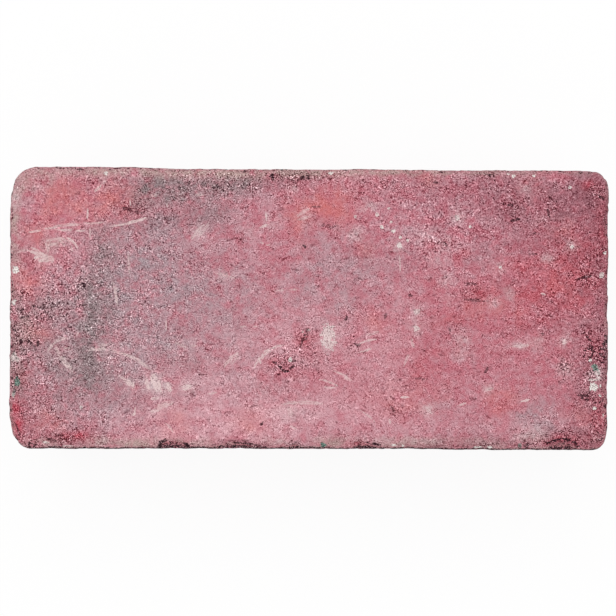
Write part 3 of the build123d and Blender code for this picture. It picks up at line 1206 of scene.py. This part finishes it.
def grime_and_arris_shade_lines(mesh):
    """How strong the grime and painted shade along the upper arrises, and in the front one's chips, are at
    each point.
    """
    places = point_values(mesh, "box_place", 3)
    chip, chip_depth = front_chips(mesh)
    drift = point_values(mesh, "drift_place", 3)[:, 2] - places[:, 2]
    fade = LINE_FADE + LINE_RUN * np.maximum(drift, 0) / MM
    down = (HALF_SIZE[2] - places[:, 2]) / MM
    found = CHIP_GRIME_AND_SHADE * chip
    for axis, sign in ((0, -1), (0, 1), (1, 1), (1, -1)):
        inward = (HALF_SIZE[axis] - sign * places[:, axis]) / MM
        strength = OTHER_LINES
        thin = LINE_THIN
        if (axis, sign) == (1, -1):
            strength = np.interp(photo_pixels(places)[0], *LINE_STRENGTHS) * (1 - CHIP_GRIME_AND_SHADE * chip)
            thin = LINE_THIN + LINE_DROP * chip_depth
        on_edge = np.minimum(down, inward) < ON_FACE
        depth = down - inward
        rise = (depth - LINE_START) / (LINE_FULL - LINE_START)
        fall = (thin + fade - depth) / fade
        found = np.maximum(found, on_edge * np.clip(np.minimum(rise, fall), 0, 1) * strength)
    return found


def colour_zones(mesh):
    """Stores, at each point, how much of each bloom and stain the clay has there, and painted shade in the
    hidden faces' pits, along the upper arrises and in the front arris's chips.
    """
    depth = HALF_SIZE[2] - point_values(mesh, "box_place", 3)[:, 2]
    pitting = point_values(mesh, "pitting", 1)[:, 0]
    chance = np.random.default_rng(SEED)
    kinds = (("drift_place", BROAD_ZONES, BROAD_DEPTH), ("near_place", NEAR_ZONES, NEAR_DEPTH))
    for source, zones, reach in kinds:
        shown = np.exp(-((depth / reach) ** 2))
        places = point_values(mesh, source, 3)
        pixels = photo_pixels(places)
        for name, patches in zones.items():
            amount = spread(pixels, shown, patches)
            amount = np.maximum(amount, scattered(places, 1 - shown, chance, *HIDDEN_ZONES[name]))
            # Painted shade in the pits of the sides and the lower bed face, carried with the dusk.
            if name == "dusk":
                amount = np.maximum(amount, PIT_SHADE * pitting * (1 - shown))
            if name == "crimson":
                amount = np.maximum(amount, CHIP_RED * front_chips(mesh)[0])
            # The grime also takes the painted shade along the upper arrises and in the front arris's chips.
            if name == "grime_and_edge_shade":
                amount = np.maximum(amount, grime_and_arris_shade_lines(mesh))
            mesh.attributes.new(name, "FLOAT", "POINT").data.foreach_set("value", amount)


def on_mark(mark, pixels):
    """Where points lie on a mark: along it and across it, both from -1 to 1, and how many pixels off it."""
    run = (np.array(mark.end) - mark.start) / 2
    reach = np.hypot(*run)
    right = pixels[0] - (mark.start[0] + mark.end[0]) / 2
    down = pixels[1] - (mark.start[1] + mark.end[1]) / 2
    along = (right * run[0] + down * run[1]) / reach**2
    sideways = (down * run[0] - right * run[1]) / reach
    across = (sideways - mark.bow * (1 - along**2)) / (mark.width / 2)
    past_end = np.maximum(np.abs(along) - 1, 0) * reach
    past_side = np.maximum(np.abs(across) - 1, 0) * mark.width / 2
    return along, across, np.hypot(past_end, past_side)


def strewn_marks(chance, strewn):
    """Marks strewn over the brick, as they lie when its sides are folded out flat."""
    length, width, height = BRICK_SIZE
    # The middle of each face and its size, the upper bed face last.
    faces = [
        ((0, (width + height) / 2), (length, height)),
        ((0, -(width + height) / 2), (length, height)),
        ((-(length + height) / 2, 0), (height, width)),
        (((length + height) / 2, 0), (height, width)),
        ((0, width + height), (length, width)),
        ((0, 0), (length, width)),
    ]
    if not strewn.everywhere:
        faces.pop()
    areas = np.array([size[0] * size[1] for _, size in faces])
    marks = []
    for face in chance.choice(len(faces), strewn.count, p=areas / areas.sum()):
        middle, size = faces[face]
        place = turned(*(middle + np.array(size) * chance.uniform(-STREWN_SHARE / 2, STREWN_SHARE / 2, 2)))
        angle = chance.uniform(-strewn.lean, strewn.lean)
        run = np.array([math.cos(angle), math.sin(angle)]) * chance.uniform(*strewn.lengths) / 2
        bow = chance.normal(0, STREWN_BOW) * np.hypot(*run)
        sizes = chance.uniform(*strewn.widths), chance.uniform(*strewn.strengths)
        marks.append(Mark(tuple(place - run), tuple(place + run), bow, *sizes))
    return marks


def around(mark, margin):
    """The box, in pixels, that holds a mark and a margin round it: left, top, right and bottom."""
    ends = np.array([mark.start, mark.end])
    margin += mark.width / 2 + abs(mark.bow)
    return *(ends.min(0) - margin), *(ends.max(0) + margin)


def layered(marks):
    """The marks sorted into layers, in each of which no two marks come close to each other."""
    length, width, height = np.array(BRICK_SIZE) / PIXEL
    corner = PHOTO_MIDDLE - np.array([length, width]) / 2 - height - MARK_GAP
    counts = (np.array([length + 2 * height, 2 * (width + height)]) + 2 * MARK_GAP) / GRID_STEP
    rows, columns = np.mgrid[0 : int(counts[1]), 0 : int(counts[0])]
    right, down = columns * GRID_STEP + corner[0], rows * GRID_STEP + corner[1]
    layers = []
    for mark in marks:
        box = (np.array(around(mark, MARK_GAP)) - (*corner, *corner)) / GRID_STEP
        low_x, low_y, high_x, high_y = np.maximum(box.astype(int), 0)
        part = (slice(low_y, high_y), slice(low_x, high_x))
        claimed = on_mark(mark, (right[part], down[part]))[2] < MARK_GAP / 2
        for taken, members in layers:
            if not (taken[part] & claimed).any():
                break
        else:
            taken, members = np.zeros(right.shape, bool), []
            layers.append((taken, members))
        taken[part] |= claimed
        members.append(mark)
    return [members for _, members in layers]


mark_chance = np.random.default_rng(SEED)
MARK_LAYERS = {
    name: layered(marks + strewn_marks(mark_chance, STREWN_MARKS[name])) for name, marks in MARKS.items()
}


def place_marks(mesh):
    """Stores, at each point and for each layer, its place on the nearest mark and that mark's strength."""
    right, down = unfolded_pixels(point_values(mesh, "box_place", 3))
    for name, layers in MARK_LAYERS.items():
        for number, marks in enumerate(layers):
            values = np.tile(OFF_MARKS, (len(right), 1))
            nearest = np.full(len(right), np.inf)
            for mark in marks:
                left, top, far_right, bottom = around(mark, 2 * MARK_MARGIN)
                near = np.flatnonzero((right > left) & (right < far_right) & (down > top) & (down < bottom))
                along, across, off = on_mark(mark, (right[near], down[near]))
                closer = off < nearest[near]
                nearest[near[closer]] = off[closer]
                strength = np.where(off < MARK_MARGIN, mark.strength, 0)
                values[near[closer]] = np.column_stack((along, across, strength))[closer]
            attribute = mesh.attributes.new(f"{name}_{number}", "FLOAT_VECTOR", "POINT")
            attribute.data.foreach_set("vector", values.ravel())


def bake_map(mesh):
    """Lays the six sides of the brick flat beside each other, in a map for baked colours."""
    gap = 2 * MM
    length, width, height = BRICK_SIZE
    sheet = 2 * width + 2 * height + 5 * gap
    # For each side: the axis it faces, the axes that run along and up it, and where it lies on the sheet.
    sides = [
        (1, -1, (0, 1), (2, 1), (gap, gap)),
        (1, 1, (0, -1), (2, 1), (gap, height + 2 * gap)),
        (2, -1, (0, -1), (1, 1), (gap, 2 * height + 3 * gap)),
        (2, 1, (0, 1), (1, 1), (gap, 2 * height + width + 4 * gap)),
        (0, -1, (1, -1), (2, 1), (length + 2 * gap, gap)),
        (0, 1, (1, 1), (2, 1), (length + 2 * gap, height + 2 * gap)),
    ]
    box_place = point_values(mesh, "box_place", 3)
    corners = np.empty(len(mesh.loops), int)
    mesh.loops.foreach_get("vertex_index", corners)
    corner_place = box_place[corners]
    faces = corner_place.reshape(-1, 4, 3).mean(1) / HALF_SIZE
    flat = np.zeros((len(corners), 2))
    for axis, sign, along, up, start in sides:
        here = np.repeat((np.abs(faces).argmax(1) == axis) & (np.sign(faces[:, axis]) == sign), 4)
        for column, (direction, way) in enumerate((along, up)):
            distance = corner_place[here, direction] * way + HALF_SIZE[direction]
            flat[here, column] = (start[column] + distance) / sheet
    layer = mesh.uv_layers.new(name="OFBake")
    layer.uv.foreach_set("vector", flat.ravel())


# How closely a scuff's strands lie, along it and across it.
STRANDS = (1.6, 2.4)


def mark_shares(n, name, uneven, sharpness, strands=False):
    """How strongly the marks of one kind show, with edges that the uneven value pushes in and out.

    With strands, each mark is drawn in fine lines that run its way.
    """
    shares = []
    for number in range(len(MARK_LAYERS[name])):
        along, across, strength = n.parts(
            n.add("ShaderNodeAttribute", attribute_name=f"{name}_{number}").outputs["Vector"]
        )
        away = n.math("MULTIPLY_ADD", along, along, n.math("MULTIPLY_ADD", across, across, uneven))
        inside = n.math("MULTIPLY_ADD", away, -sharpness, sharpness, clamp=True)
        if strands:
            run = n.vector("MULTIPLY", n.join(along, across, float(number)), (*STRANDS, 1.0))
            inside = n.math("MULTIPLY", inside, n.remap(n.noise(run, 1.0, 1.0), 0.38, 0.56, 0.2, 1.1))
        shares.append(n.math("MULTIPLY", inside, strength))
    return n.chain("MAXIMUM", *shares)


# Lumps of the clay's noises, in millimetres across.
CLOUD_LUMP, HUE_LUMP, STRETCH_LUMP, CRACK_LUMP, MOTTLE_LUMP = 9.0, 5.0, 4.5, 2.8, 2.6
CRUMB_LUMP, SPECK_GAP, SAND_LUMP, GRAIN_LUMP = 1.5, 1.25, 0.9, 0.38
# Where some of them are taken from, in millimetres, so that no two agree.
HUE_START, CRUMB_START = (31.0, 17.0, 53.0), (71.0, 5.0, 29.0)
STRETCH_START, CRACK_START = (13.0, 47.0, 7.0), (3.0, 83.0, 19.0)
# Steps of tone, where black to white is 1: single dark and pale grains, painted shade in pores and nicks,
# pale flecks, and a lift of the whole.
DARK_SPECK, PALE_SPECK = -0.13, 0.06
PORE_SHADE_STEP, NICK_SHADE_STEP, FLECK_STEP = -0.19, -0.18, 0.10
TONE_LIFT = 0.012
# Fine relief, in millimetres.
GRAIN_HEIGHT, SAND_HEIGHT, STONE_HEIGHT = 0.04, 0.12, 0.08
PORE_HEIGHT, CREVICE_HEIGHT, NICK_HEIGHT = -0.2, -0.4, -0.2
# How much of a colour shows at the most: salmon in the clay, sand on the arrises and lime, and red, painted
# shade in holes, and pale in pitted clay. Then how much of the grain is the finest one.
SALMON_TINGE, ARRIS_SAND, SMUDGE_COVER = 0.15, 0.45, 0.85
PITTED_RED, HOLE_SHADE, KNOB_PALE = 0.2, 0.6, 0.4
FINE_SHARE = 0.76
# How much the clay shines.
ROUGHNESS = (0.84, 0.97)
SHINE = 0.2


def fired_clay():
    """Weathered clay: mottled rose, grey and red, with grains, scuffs, stones and grime, and painted shade
    in pores, nicks, holes, crevices and along the upper arrises.
    """
    material, n = new_material("fired_clay")
    place = n.vector("MULTIPLY", n.add("ShaderNodeTexCoord").outputs["Object"], TO_MM)

    def own(name):
        return n.add("ShaderNodeAttribute", attribute_name=name).outputs["Fac"]

    def off_centre(value, reach):
        return n.math("MULTIPLY", n.math("SUBTRACT", value, 0.5), reach)

    cloud = n.noise(place, CLOUD_LUMP, 3.0, 0.6)
    hue = n.noise(n.vector("ADD", place, HUE_START), HUE_LUMP, 2.0, 0.6)
    mottle = n.noise(place, MOTTLE_LUMP, 3.0, 0.6)
    crumb = n.noise(n.vector("ADD", place, CRUMB_START), CRUMB_LUMP, 2.0, 0.6)
    sand = n.noise(place, SAND_LUMP, 1.0)
    grain = n.noise(place, GRAIN_LUMP, 0.0)
    stretch = n.noise(n.vector("ADD", place, STRETCH_START), STRETCH_LUMP, 2.0, 0.6)
    bloom_unrest = n.math("ADD", off_centre(cloud, 1.1), off_centre(mottle, 0.9))
    clay_unrest = n.math("ADD", off_centre(hue, 1.5), off_centre(mottle, -0.6))

    def broken(name, unrest, edge):
        """How strong a zone is, broken up by clouds and mottling."""
        return n.math("MULTIPLY", own(name), n.math("MULTIPLY_ADD", unrest, edge, 1.0), clamp=True)

    # The clay's own colours and the blooms on it.
    pitted = own("pitted")
    stir = n.math("ADD", off_centre(mottle, 1.2), off_centre(hue, 1.4))
    colour = n.blend(n.remap(stir, -0.32, 0.32), DUSKY_CLAY, ROSE_CLAY)
    colour = n.blend(n.math("MULTIPLY", n.remap(hue, 0.55, 0.8), SALMON_TINGE), colour, SALMON_CLAY)
    colour = n.blend(broken("mauve_bloom", bloom_unrest, 2.4), colour, MAUVE_BLOOM)
    colour = n.blend(broken("grey_bloom", bloom_unrest, 2.4), colour, GREY_BLOOM)
    colour = n.blend(broken("pale_bloom", clay_unrest, 2.0), colour, PALE_BLOOM)
    rim = n.remap(n.math("MULTIPLY_ADD", bloom_unrest, -5.0, own("arris_distance")), 2.2, 0.2)
    rim = n.math("MULTIPLY", rim, ARRIS_SAND)
    sandy = n.math("MAXIMUM", broken("sand_rub", bloom_unrest, 3.0), rim)
    colour = n.blend(sandy, colour, SAND_RUB)
    colour = n.blend(broken("red_clay", clay_unrest, 2.6), colour, RED_CLAY)
    colour = n.blend(broken("salmon_clay", clay_unrest, 2.4), colour, SALMON_CLAY)
    colour = n.blend(broken("dusk", bloom_unrest, 2.0), colour, DUSK)
    colour = n.blend(n.math("MULTIPLY", pitted, PITTED_RED), colour, RED_CLAY)
    colour = n.blend(broken("crimson", clay_unrest, 2.0), colour, CRIMSON)
    smudge = n.math("MULTIPLY", broken("lime_smudge", bloom_unrest, 3.0), SMUDGE_COVER)
    colour = n.blend(smudge, colour, LIME_SMUDGE)

    # Grime, with painted shade along the arrises and in the chips, pitted clay, and crevices where the face
    # has broken open; holes and crevices are darkened as painted shade.
    coarse = n.math("MULTIPLY_ADD", grain, FINE_SHARE, n.math("MULTIPLY", sand, 1 - FINE_SHARE))
    uneven = n.math("ADD", off_centre(sand, 1.6), off_centre(crumb, 2.2))
    # Dark grime, which along the arrises and in the chips is painted shade too.
    dirt_and_shade = n.blend(n.remap(crumb, 0.34, 0.5), RUSTY_GRIME_AND_SHADE, GRIME_AND_SHADE)
    soil = n.math("ADD", off_centre(sand, -1.0), off_centre(crumb, -0.9))
    grime_and_edge_shade = n.remap(n.math("ADD", own("grime_and_edge_shade"), soil), 0.38, 0.6)
    colour = n.blend(n.math("MULTIPLY", grime_and_edge_shade, n.remap(coarse, 0.64, 0.5, 0.35, 1.0)), colour, dirt_and_shade)
    lump = n.math("ADD", off_centre(coarse, 1.4), off_centre(crumb, 0.7))
    hole = n.math("MULTIPLY", n.remap(lump, -0.04, -0.26), pitted)
    knob = n.math("MULTIPLY", n.remap(lump, 0.08, 0.3), pitted)
    # Holes and crevices darkened as painted shade.
    colour = n.blend(n.math("MULTIPLY", hole, HOLE_SHADE), colour, CREVICE_SHADE)
    colour = n.blend(n.math("MULTIPLY", knob, KNOB_PALE), colour, PALE_GRAIN)
    ragged = n.math("ADD", off_centre(sand, 2.8), off_centre(crumb, 2.6))
    crevice = n.math("MULTIPLY", mark_shares(n, "crevice", ragged, 3.0), n.remap(sand, 0.66, 0.5))
    colour = n.blend(crevice, colour, CREVICE_SHADE)

    # Sandy grain, coarser in places, with single grains that stand out, as steps of tone.
    contrast = n.chain(
        "MULTIPLY",
        n.math("MULTIPLY_ADD", own("grainy"), 0.95, n.math("MULTIPLY_ADD", pitted, 0.2, 0.68)),
        n.remap(stretch, 0.32, 0.68, 0.6, 1.35),
        n.remap(crumb, 0.3, 0.7, 1.35, 0.65),
        n.remap(own("salmon_clay"), 0.0, 0.8, 1.0, 0.6),
    )
    swing = n.math("SUBTRACT", coarse, 0.5)
    swing = n.math("MULTIPLY", swing, n.math("MULTIPLY_ADD", n.math("ABSOLUTE", swing), 2.4, 0.83))
    swing = n.math("MINIMUM", swing, n.math("MULTIPLY", swing, 0.64))
    away, chance = n.cells(place, SPECK_GAP)
    speck = n.chain(
        "MULTIPLY",
        n.remap(away, 0.36, 0.14),
        n.remap(chance[0], 0.55, 0.95),
        n.math("MULTIPLY_ADD", own("grainy"), 0.2, 0.55),
        n.remap(chance[1], 0.49, 0.51, DARK_SPECK, PALE_SPECK),
    )
    shade = n.math("MULTIPLY_ADD", swing, contrast, n.math("ADD", speck, TONE_LIFT))

    # Pores, hair cracks and nicks, darkened as painted shade, and flecks.
    level = n.math("MULTIPLY_ADD", pitted, 0.1, 0.24)
    pore = n.remap(n.math("SUBTRACT", level, crumb), -0.02, 0.07)
    line = n.noise(n.vector("ADD", place, CRACK_START), CRACK_LUMP, 2.0, 0.6)
    line = n.remap(n.math("ABSOLUTE", off_centre(line, 1.0)), 0.024, 0.004)
    crack = n.math("MULTIPLY", line, n.remap(n.math("MULTIPLY_ADD", pitted, 0.6, stretch), 0.55, 1.2))
    pore = n.math("MAXIMUM", pore, crack)
    nick = mark_shares(n, "nick", uneven, 1.6)
    fleck = mark_shares(n, "fleck", uneven, 1.6)
    for share, step in ((pore, PORE_SHADE_STEP), (nick, NICK_SHADE_STEP), (fleck, FLECK_STEP)):
        shade = n.math("MULTIPLY_ADD", share, step, shade)
    seen = n.add("ShaderNodeGamma", colour, SEEN_POWER).outputs[0]
    seen = n.vector("MAXIMUM", n.vector("ADD", seen, n.join(shade, shade, shade)), DARKEST_TONE)
    colour = n.add("ShaderNodeGamma", seen, 1 / SEEN_POWER).outputs[0]

    # Scuffs, stones and algae.
    scuff = mark_shares(n, "scuff", uneven, 2.6, strands=True)
    scuff = n.math("MULTIPLY", scuff, n.remap(coarse, 0.3, 0.52, 0.68, 1.25), clamp=True)
    stone = mark_shares(n, "stone", ragged, 3.2)
    algae = mark_shares(n, "algae", uneven, 1.6)
    colour = n.blend(scuff, colour, SCUFF)
    chalky = n.blend(n.remap(coarse, 0.34, 0.52), GREY_STONE, STONE)
    colour = n.blend(stone, colour, chalky)
    green = n.blend(n.remap(coarse, 0.42, 0.62), DARK_ALGAE, PALE_ALGAE)
    colour = n.blend(algae, colour, green)

    # Fine relief.
    relief = n.math("MULTIPLY_ADD", grain, GRAIN_HEIGHT, n.math("MULTIPLY", sand, SAND_HEIGHT))
    gap = n.math("MAXIMUM", crevice, hole)
    heights = ((pore, PORE_HEIGHT), (gap, CREVICE_HEIGHT), (nick, NICK_HEIGHT), (stone, STONE_HEIGHT))
    for share, height in heights:
        relief = n.math("MULTIPLY_ADD", share, height, relief)
    bump = n.add("ShaderNodeBump")
    bump.inputs["Distance"].default_value = MM
    n.feed(bump.inputs["Height"], relief)

    clay = n.add("ShaderNodeBsdfPrincipled")
    n.feed(clay.inputs["Base Color"], colour)
    n.feed(clay.inputs["Roughness"], n.remap(mottle, 0.3, 0.7, *ROUGHNESS))
    n.feed(clay.inputs["Normal"], bump.outputs[0])
    clay.inputs["Specular IOR Level"].default_value = SHINE
    n.add("ShaderNodeOutputMaterial", clay.outputs[0])
    return material


WHITE = (1.0, 1.0, 1.0, 1.0)
# The floor: how far it reaches, its colour in the light that it sends back, and how much of what the camera
# sees of it is a plain white glow. The rest shows the brick's shadow.
FLOOR_REACH = 3.0
FLOOR_GREY = (0.75, 0.75, 0.75, 1.0)
FLOOR_GLOW = 0.9
# The light: the sky's strength on the brick, and the lamp's power in watts, its width and its place.
SKY_STRENGTH = 0.7
LAMP_POWER = 7.2
LAMP_WIDTH = 1.6
LAMP_PLACE = (-0.1, 0.4, 1.2)
# The camera's lens, in millimetres, how far it sees, and how far below the upper bed face the outline lies.
LENS = 100.0
SIGHT = 20.0
OUTLINE_DEPTH = 2 * MM


def seen_share(n):
    """1 where the camera looks, straight or through a shine or glass, and 0 for other light."""
    rays = n.add("ShaderNodeLightPath").outputs
    seen = n.math("ADD", rays["Is Camera Ray"], rays["Is Glossy Ray"])
    return n.math("ADD", seen, rays["Is Transmission Ray"], clamp=True)


def pale_floor():
    """A wide matt floor: white to the camera, and a little darker in the light that it sends back."""
    material, n = new_material("pale_floor")
    seen = seen_share(n)
    matt = n.add("ShaderNodeBsdfDiffuse", n.blend(seen, FLOOR_GREY, WHITE))
    glow = n.add("ShaderNodeEmission", WHITE, 1.0)
    share = n.math("MULTIPLY", seen, FLOOR_GLOW)
    mix = n.add("ShaderNodeMixShader", share, matt.outputs[0], glow.outputs[0])
    n.add("ShaderNodeOutputMaterial", mix.outputs[0])
    corners = [(x * FLOOR_REACH, y * FLOOR_REACH, 0) for x, y in ((-1, -1), (1, -1), (1, 1), (-1, 1))]
    mesh = bpy.data.meshes.new("floor")
    mesh.from_pydata(corners, [], [(0, 1, 2, 3)])
    mesh.materials.append(material)
    return in_scene("floor", mesh)


def soft_light():
    """An even white sky, and a wide lamp above the brick's back stretcher face."""
    world = bpy.data.worlds.new("studio")
    bpy.context.scene.world = world
    world.use_nodes = True
    n = Nodes(world.node_tree)
    sky = world.node_tree.nodes["Background"]
    sky.inputs["Color"].default_value = WHITE
    n.feed(sky.inputs["Strength"], n.remap(seen_share(n), 0.0, 1.0, SKY_STRENGTH, 1.0))
    data = bpy.data.lights.new("softbox", "AREA")
    data.shape = "DISK"
    data.size = LAMP_WIDTH
    data.energy = LAMP_POWER
    lamp = in_scene("softbox", data)
    lamp.location = LAMP_PLACE
    aim = Vector((0, 0, BED_HEIGHT)) - lamp.location
    lamp.rotation_euler = aim.to_track_quat("-Z", "Y").to_euler()


def straight_down_camera():
    """A long lens above the upper bed face, framed and turned as in the photograph."""
    data = bpy.data.cameras.new("camera")
    data.lens = LENS
    data.clip_end = SIGHT
    shown = PHOTO_SIDE * PIXEL
    camera = in_scene("camera", data)
    camera.location = (
        (PHOTO_SIDE / 2 - PHOTO_MIDDLE[0]) * PIXEL,
        (PHOTO_MIDDLE[1] - PHOTO_SIDE / 2) * PIXEL,
        BED_HEIGHT - OUTLINE_DEPTH + shown * LENS / data.sensor_width,
    )
    camera.rotation_euler = (0.0, 0.0, PHOTO_TURN)
    bpy.context.scene.camera = camera


bpy.context.scene.view_settings.view_transform = "Standard"
brick = skinned_brick(fired_clay())
colour_zones(brick.data)
place_marks(brick.data)
bake_map(brick.data)
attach(brick, "root")
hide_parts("brick")
pale_floor()
soft_light()
straight_down_camera()
